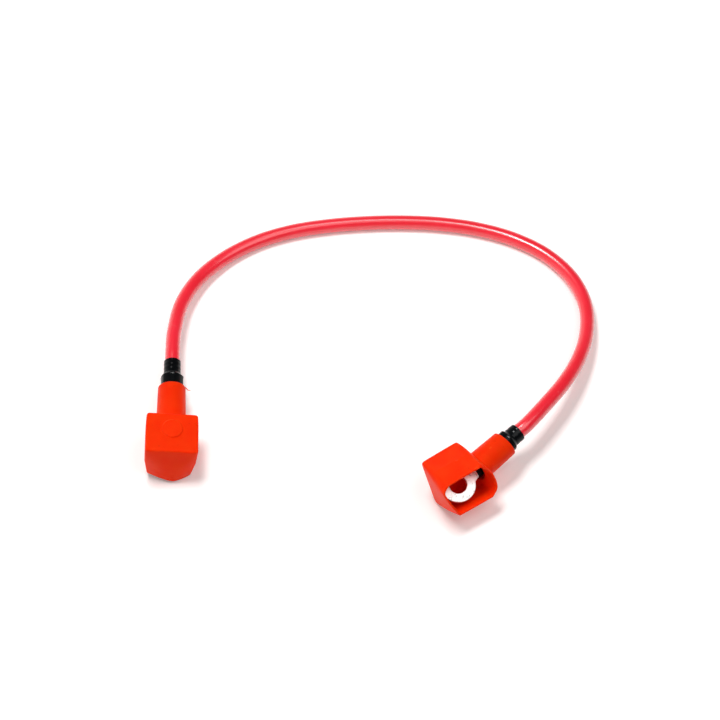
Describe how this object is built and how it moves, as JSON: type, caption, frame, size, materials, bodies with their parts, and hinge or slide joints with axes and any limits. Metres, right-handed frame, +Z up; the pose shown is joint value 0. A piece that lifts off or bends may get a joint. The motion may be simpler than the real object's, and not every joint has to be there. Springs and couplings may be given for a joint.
{
  "type": "battery cable",
  "caption": "Short red battery cable with a ring terminal at each end, black heat shrink over each joint and a soft orange-red hood boot over each ring.",
  "frame": {"origin": "on the surface the cable lies on, under the middle of the box around the two fitted ends", "axes": "+Z up from the surface; +X from the left end to the right end; +Y from the two ends towards the cable's far bend"},
  "size_m": [0.2769, 0.2299, 0.0379],
  "materials": {
    "jacket_red": "satin flexible cable jacket",
    "copper": "bright stranded copper",
    "tinned_copper": "tin plated, lightly scratched",
    "shrink_black": "semi-gloss recovered shrink tube",
    "boot_orange": "satin soft vinyl"
  },
  "bodies": {
    "root": {"cable_jacket": "jacket_red", "copper_conductor": "copper", "ring_terminal_left": "tinned_copper", "ring_terminal_right": "tinned_copper", "heat_shrink_left": "shrink_black", "heat_shrink_right": "shrink_black", "terminal_boot_left": "boot_orange", "terminal_boot_right": "boot_orange"}
  },
  "joints": []
}
